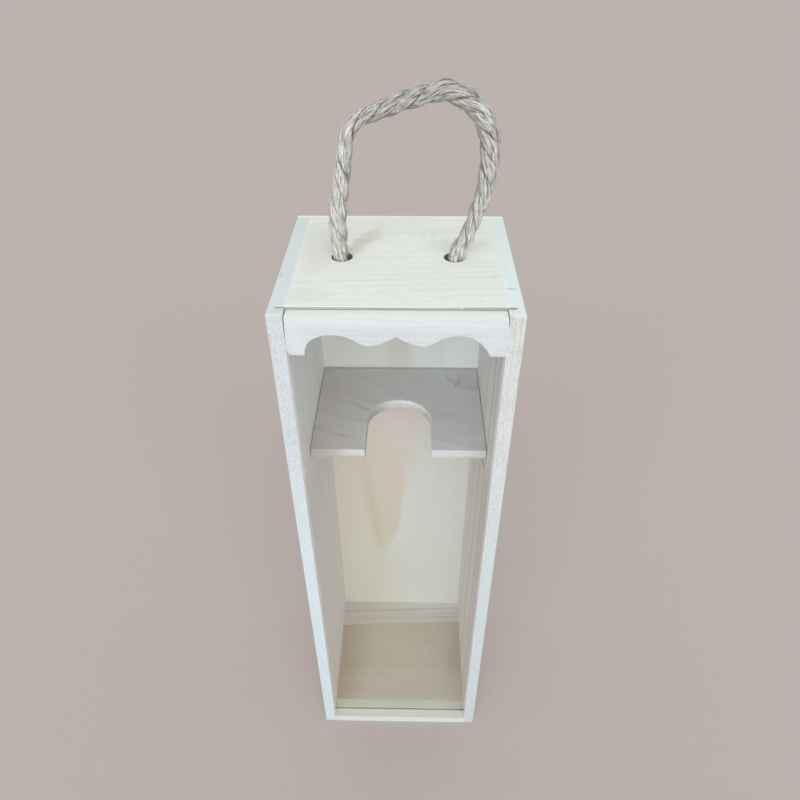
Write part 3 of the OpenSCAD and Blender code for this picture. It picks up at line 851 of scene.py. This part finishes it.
low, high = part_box("bottom_board")
outline = [(low.y, low.z), (high.y, low.z), (high.y, high.z), (low.y + SLOT_BACK, high.z),
           (low.y + SLOT_BACK, high.z - FLOOR_GROOVE), (low.y + SLOT_FRONT, high.z - FLOOR_GROOVE),
           (low.y + SLOT_FRONT, high.z), (low.y, high.z)]
board_ends = [(0, low.x), (0, high.x)]
bottom = outline_board("bottom_board", outline, 0, ease=0.0002, joints=board_ends)
strip_outline = rectangle(*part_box("bottom_back_strip"))
strip = outline_board("bottom_back_strip", strip_outline, 2, ease=0.0002, joints=board_ends)
for piece in (bottom, strip):
    for v in piece.data.vertices:
        if abs(v.co.y - high.y) < 0.001:
            v.co.y += STRIP_SLANT * v.co.x / high.x + STRIP_SHIFT
place_board(bottom, "floor_wood", order="xyz", pith=(10.0, -160.0), slope=0.02, pitch=3.0, tones=FLOOR_TONES,
            late=(178, 160, 138), lines=0.2, fibres=0.4, edge=(205, 216, 214), end=SIDE_END,
            marks=floor_marks, seed=12.0, torn=0.05)
place_board(strip, "end_wood", order="xyz", pith=(130.0, 0.0), slope=-0.06, pitch=6.4, tones=STRIP_TONES,
            late=(182, 170, 160), lines=0.15, fibres=0.35, edge=(200, 196, 184), end=SIDE_END,
            marks=strip_marks, seed=14.0)


# The back is one thin board over the edges of the others, sawn from near the middle of its log, so that
# one growth ring shows as a long brown tongue that points down.
BACK_TONES = [(231, 233, 228), (230, 231, 225), (228, 228, 220)]
BACK_MM, SHELF_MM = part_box("back_panel")[0].y * 1000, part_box("neck_shelf")[1].z * 1000


def back_marks(f, x, y, z):
    """The tongue between its left and right edges, the browner board to its left, the greener one below and
    the bluer one beside it; and above the shelf painted light that makes that part brighter, with a line of
    painted shade where the shelf meets the back."""
    at = x + f.sway((x / 18, 0.5, z / 50), 4, detail=3)
    left = f.fade(z, 40, 190, -17.0, -30.0)
    right = f.fade(z, 52, 112, -18.0, -1.5) + f.fade(z, 100, 230, 0.0, 14.0)
    face = f.fall(z - TOP_MM, -1.2, -0.4)
    f.tint(f.fade(left - at, -3, 3) * f.fade(z, 55, 115, 0.35, 1.0) * face * 0.5, paint(222, 210, 196))
    f.tint(f.fall(z, 40, 130) * f.fade(x, -6, 30, 1.0, 0.3) * face * 0.5, paint(216, 213, 196))
    soft = f.fade(z, 110, 200, 2.4, 8.0)
    tongue = f.fade(at - left, -3, 4) * f.fade((right - at) / soft, -1.0, 1.0) * f.fade(z, 54, 96)
    pink = f.fade(z, 105, 235)
    hue = f.mix(pink, paint(216, 202, 178), paint(239, 228, 224))
    f.tint(tongue * face * (0.55 + 0.3 * pink), hue)
    band = f.fall(abs(at - left - 2.5), 0.0, 7.5) * f.fade(z, 50, 96) * f.fade(z, 130, 210, 1.0, 0.3)
    f.tint(band * 0.34, paint(204, 192, 158))
    beside = f.fade((at - right) / soft, -0.8, 1.6) * f.fade(z, 60, 110) * f.fade(z, 150, 230, 1.0, 0.5)
    beside = beside + f.fade(x, -26, 14) * f.fade(z, 60, 110, 0.85, 0.0)
    f.tint(beside * face * 0.6, paint(226, 233, 231))
    # Painted light: the inner face above the shelf is painted brighter and cooler, most at the right.
    inner = face * f.fall(y - BACK_MM, 0.2, 0.5)
    above = inner * f.fade(z - SHELF_MM, -4.5, 0.5)
    bright = f.fade(x, 25, 30.5)
    cool = f.mix(f.fade(x, 5, 12), paint(234, 241, 235), paint(240, 250, 250))
    f.tint(above * (0.75 + 0.25 * bright), f.mix(bright, cool, paint(246, 254, 255)))
    f.tint(above * f.fall(abs(x + 2), 4.0, 10.5) * 0.3, paint(220, 208, 196))
    # Painted shade: a dark line along the back's inner face where the shelf meets it.
    f.tint(inner * f.fall(abs(z - SHELF_MM - 0.4), 0.2, 0.8) * 0.6, paint(118, 118, 108))


low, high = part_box("back_panel")
back = outline_board("back_panel", rectangle(low, high), 2, ease=0.0004, joints=[(1, low.y)])
dish_brads(back, "back_panel_brads", 1, high.y, 1)
place_board(back, "end_wood", order="zxy", pith=(-18.0, -11.5), slope=0.0, pitch=5.0, tones=BACK_TONES,
            late=(208, 196, 176), lines=0.14, fibres=0.16, edge=(232, 234, 226),
            end=(236, 238, 232), marks=back_marks, seed=20.0, wander=2.5, relief=0.00006)


# The neck shelf stops the bottle from tipping: its notch is sawn in from the front edge for the bottle's
# neck. It is greyer than the rest, with a branch knot in its right back corner.
SHELF_TONES = [(220, 220, 224), (217, 215, 217), (210, 205, 206)]
SHELF_DARK = paint(150, 136, 130)
NOTCH_R, NOTCH_DEPTH = 0.018, 0.025
NOTCH_STEPS, NOTCH_CHIP = 56, 0.00016
SHELF_FRONT_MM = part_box("neck_shelf")[0].y * 1000
BRANCH, BRANCH_R = (45, 46), 17.5
BRANCH_DOTS = [(36.6, 38.3), (35.3, 35.9), (36.1, 33.6), (33.9, 30.7)]
SHELF_STROKES = [
    ([(-33, 46), (-16, 35.2), (-10.7, 31.4)], 0.8, 0.4), ([(-1.2, 24.8), (4.8, 17.5)], 0.8, 0.35),
    ([(-10.7, 31.4), (-1.2, 24.8)], 0.7, 0.15), ([(-45, 22), (-18, 8)], 2.2, 0.32),
    ([(-49, -8), (-30, -16)], 1.8, 0.35), ([(-47, -2), (-32, -9)], 1.0, 0.15),
    ([(28, -14), (49, -10)], 1.5, 0.15), ([(20, 2), (34, 6), (49, 8)], 2.0, 0.14),
    ([(37.5, 38), (41, 42.3), (45.5, 48.4)], 0.8, 0.7),
]


def shelf_marks(f, x, y, z):
    """Dark strokes of grain, the branch knot in the corner, and broad patches of other greys."""
    bend = f.sway((x / 12, y / 12, 0.5), 3, detail=3)
    at = (x + bend, y + bend)
    for line, width, share in SHELF_STROKES:
        f.tint(stroke(f, at, line, width) * share, SHELF_DARK)
    dx, dy = at[0] - BRANCH[0], at[1] - BRANCH[1]
    far = f.maths("SQRT", dx * dx + dy * dy) - BRANCH_R
    branch = f.fall(far, -0.5, 0.5)
    f.tint(branch * 0.3, paint(192, 182, 166))
    rings = f.maths("FRACT", (far + BRANCH_R) / 2.9 + 0.1)
    f.tint(branch * f.fade(rings, 0.5, 1.0) * 0.1, SHELF_DARK)
    uneven = f.fade(f.noise((x / 5, y / 5, 0.5)), 0.35, 0.65, 0.35, 1.0)
    f.tint(f.fall(abs(far), 0.0, 1.7) * uneven * 0.7, paint(136, 120, 110))
    f.tint(f.fall(far, 0.0, 4.5) * f.fade(x, 28, 36) * 0.3, paint(160, 138, 128))
    f.tint(spot(f, (x, y), (46, 29.5), (7, 1.6)) * 0.35, paint(156, 134, 116))
    for dot in BRANCH_DOTS:
        f.tint(spot(f, (x, y), dot, (1.3, 1.6)) * 0.75, paint(96, 86, 78))
    patch = f.noise((x / 15, y / 9, 4.5), detail=3)
    f.tint(f.fade(patch, 0.45, 0.65) * 0.35, paint(210, 218, 212))
    f.tint(f.fall(patch, 0.35, 0.55) * f.fade(y, -26, 0) * 0.35, paint(208, 210, 220))
    f.tint(f.fall(x + bend * 3, -46, -8) * 0.4, paint(200, 184, 177))
    f.tint(f.fade(y, 20, 48) * f.fade(x, 0, 44) * 0.35, paint(232, 232, 236))
    f.tint(f.fade(x, 16, 40) * 0.25, paint(226, 232, 240))
    notch_marks(f, x, y, z - SHELF_MM)


def notch_marks(f, x, y, up):
    """The saw left the notch's rim torn and pale and its wall mottled, and splintered it at the left; the
    wall is darker towards its lower edge. Painted light makes the wall whiter at the right, painted shade
    darkens it at the left, and a painted shadow runs along its lower edge at the left. The saw left the
    shelf's front edge rough along its underside. up is the height over the shelf's top."""
    saw = f.noise((x / 1.1, y / 1.1, (up + SHELF_MM) / 1.1), detail=3, rough=0.6)
    rough_and_shaded_left = f.fall(x + (saw - 0.5) * 8, -14, -4)
    inward = y - (SHELF_FRONT_MM + NOTCH_DEPTH * 1000)
    off = f.maths("SQRT", x**2 + f.maths("MAXIMUM", inward, 0.0) ** 2) - NOTCH_R * 1000
    torn = f.fall(off + saw * 9, 4.7, 5.3) * f.fade(inward, -3, 4) * f.fade(up, -0.3, -0.05)
    f.tint(torn * (0.75 - 0.35 * rough_and_shaded_left), paint(236, 237, 236))
    wall = f.fall(off, 0.25, 0.4) * f.fall(up, -0.2, 0.0)
    # Painted light: the wall's pale upper part is whiter at the right.
    pale = f.mix(f.fade(x, -2, 4), paint(238, 237, 231), paint(250, 252, 255))
    f.tint(wall * f.fade(up - saw * 4, -4.5, -3.9) * 0.8, pale)
    f.tint(wall * f.fade(saw, 0.46, 0.56) * (0.34 + 0.21 * rough_and_shaded_left), paint(176, 172, 168))
    # Darker at the left: splintered wood, and partly painted shade.
    f.tint(wall * rough_and_shaded_left * f.fade(saw, 0.4, 0.5, 0.75, 0.35), paint(160, 152, 146))
    f.tint(wall * f.fall(up + saw * 4, -4.1, -3.1) * 0.5, paint(176, 160, 150))
    # Painted shadow: a dark line along the wall's lower edge at the left.
    f.tint(wall * rough_and_shaded_left * f.fall(up, -5.5, -4.9) * 0.8, paint(112, 92, 82))
    below = f.fall(up + (saw - 0.5) * 2, -4.9, -3.5) * f.fade(x, -10, 10, 0.7, 0.4)
    far_left = f.fall(x + (saw - 0.5) * 6, -40, -24)
    rough_part = f.maths("MAXIMUM", below, far_left * 0.7)
    f.tint(f.fall(y - SHELF_FRONT_MM, 0.1, 0.5) * rough_part, paint(184, 176, 173))


low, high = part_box("neck_shelf")
chips = random.Random(7)
notch = []
for i in range(NOTCH_STEPS + 1):
    a = math.pi * i / NOTCH_STEPS
    r = NOTCH_R + chips.uniform(-NOTCH_CHIP, NOTCH_CHIP)
    notch.append((r * math.cos(a), low.y + NOTCH_DEPTH + r * math.sin(a)))
outline = [(low.x, low.y), (-NOTCH_R, low.y), *notch[::-1], (NOTCH_R, low.y), (high.x, low.y),
           (high.x, high.y), (low.x, high.y)]
shelf = outline_board("neck_shelf", outline, 2, ease=0.00035)
place_board(shelf, "shelf_wood", order="xyz", pith=(100.0, 60.0), slope=0.35, pitch=9.0, tones=SHELF_TONES,
            late=(172, 162, 154), lines=0.25, fibres=0.35, edge=(222, 226, 229),
            end=(218, 220, 221), marks=shelf_marks, seed=31.0)


# The valance closes the front above the pane's opening. Its lower edge is fretted by hand to two waves
# between end lugs, its left flank hollower than its right one, and its front arrises are rubbed round.
VALANCE_TONES = [(210, 218, 222), (206, 214, 218)]
VALANCE_INSET, VALANCE_WEDGE = 0.001, 0.0008
LUG_DROP, CREST_DROP, CREST_X = 0.0205, 0.010, 0.028
DIP_DROP, DIP_X, CUSP_DROP = 0.0155, 0.0125, 0.0105
LEFT_LUG, RIGHT_LUG = (0.008, 0.4), (0.007, 0.8)
CORNER_X, CORNER_Z, CORNER_CUT = 0.0022, 0.003, 0.0008
SHOULDER_X, SHOULDER_DROP = 0.0005, 0.006
WAVE_STEPS = 22


def half_scallop(lug_w, flank_power):
    """The fretted edge from a lug's inner corner to the middle, as distance from the middle and height."""
    half = []
    flank = INNER_X - lug_w - CREST_X
    for i in range(WAVE_STEPS, 0, -1):
        a = math.pi / 2 * i / WAVE_STEPS
        fall = 1 - max(0.0, math.cos(a)) ** (2 * flank_power)
        half.append((CREST_X + flank * math.sin(a), CREST_DROP + (LUG_DROP - CREST_DROP) * fall))
    for i in range(WAVE_STEPS):
        share = i / WAVE_STEPS
        u = share**1.5
        fall = u * u * (3 - 2 * u)
        half.append((CREST_X - (CREST_X - DIP_X) * share, CREST_DROP + (DIP_DROP - CREST_DROP) * fall))
    for i in range(WAVE_STEPS + 1):
        share = i / WAVE_STEPS
        half.append((DIP_X * (1 - share), DIP_DROP - (DIP_DROP - CUSP_DROP) * share**1.8))
    return [(x, BOX_TOP - drop) for x, drop in half]


def valance_marks(f, x, y, z):
    warm = f.fade(f.noise((x / 14, 0.5, z / 5), detail=3), 0.5, 0.75) * f.fade(y - FRONT_MM, 0.1, 0.5)
    f.tint(warm * 0.15, paint(204, 196, 174))


low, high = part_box("front_valance")
upper, lower = BOX_TOP - VALANCE_INSET, BOX_TOP - LUG_DROP
outline = [(high.x - SHOULDER_X, upper), (high.x, BOX_TOP - SHOULDER_DROP), (high.x, lower),
           *half_scallop(*RIGHT_LUG), *[(-x, z) for x, z in half_scallop(*LEFT_LUG)[-2::-1]],
           (low.x + CORNER_X, lower), (low.x + CORNER_CUT, lower + CORNER_CUT), (low.x, lower + CORNER_Z),
           (low.x + VALANCE_WEDGE, upper)]
valance = outline_board("front_valance", outline, 1, ease=0.0005, joints=[(1, high.y)], segments=3)
place_board(valance, "side_wood", order="xzy", pith=(60.0, 20.0), slope=0.03, pitch=2.4, tones=VALANCE_TONES,
            late=(184, 188, 190), lines=0.2, fibres=0.5, edge=(221, 225, 219), end=SIDE_END,
            marks=valance_marks, seed=41.0, relief=0.00004, torn=0.04)


# The pane is a thin sheet of clear acrylic, polished on its faces and left from the saw along its top. It
# stands in the grooves of the sides and the floor, and slides up.
FACE_ON_MIRROR = 0.039
PANE_FRONT_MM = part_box("front_pane")[0].y * 1000


def pane_finish():
    f = Finish("clear_acrylic")
    x, y, z = f.xyz("Object")
    smear = f.noise((x / 22, y, z / 30), detail=3)
    facing = f.node("ShaderNodeLayerWeight", None, {"Blend": 0.5}, 1)
    mirror = facing**5 * (1 - FACE_ON_MIRROR) + FACE_ON_MIRROR + f.fade(smear, 0.5, 0.8) * 0.01
    clear = f.node("ShaderNodeBsdfTransparent", None, {"Color": (0.985, 0.992, 0.988, 1)})
    gloss = f.node("ShaderNodeBsdfAnisotropic", {"distribution": "GGX"},
                   {"Color": (1, 1, 1, 1), "Roughness": f.fade(smear, 0.4, 0.75, 0.02, 0.07)})
    return f.close(f.node("ShaderNodeMixShader", None, {0: mirror, 1: clear, 2: gloss}))


def pane_edge_finish():
    f = Finish("acrylic_edge")
    x, y, z = f.xyz("Object")
    saw = f.noise((x / 0.5, y / 3, z / 0.5), detail=3)
    dull = f.fade(x + (saw - 0.5) * 20, 18, 32)
    # Painted shade: a dark strip along the front of the top edge, for the shade in the slot's gap.
    dark = f.fall(y - PANE_FRONT_MM + (saw - 0.5) * 0.3, 0.11, 0.25)
    f.colour = f.mix(f.fade(saw, 0.35, 0.7), paint(236, 242, 238), paint(220, 228, 222))
    f.tint(dull * 0.5, paint(126, 116, 104))
    f.tint(dark, f.mix(dull, paint(84, 94, 92), paint(70, 62, 56)))
    f.tint(spot(f, (x,), (28,), (0.8,)), paint(224, 228, 220))
    return f.surface(f.fade(saw, 0.3, 0.7, 0.3, 0.5), saw, 0.00005)


pane = outline_board("front_pane", rectangle(*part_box("front_pane")), 2, ease=0.0001, kind="sheet")
for finish in (pane_finish(), pane_edge_finish()):
    pane.data.materials.append(finish)
for face in pane.data.polygons:
    face.material_index = 1 if face.normal.z > 0.5 else 0
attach(pane, "pane")
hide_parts("front_pane")
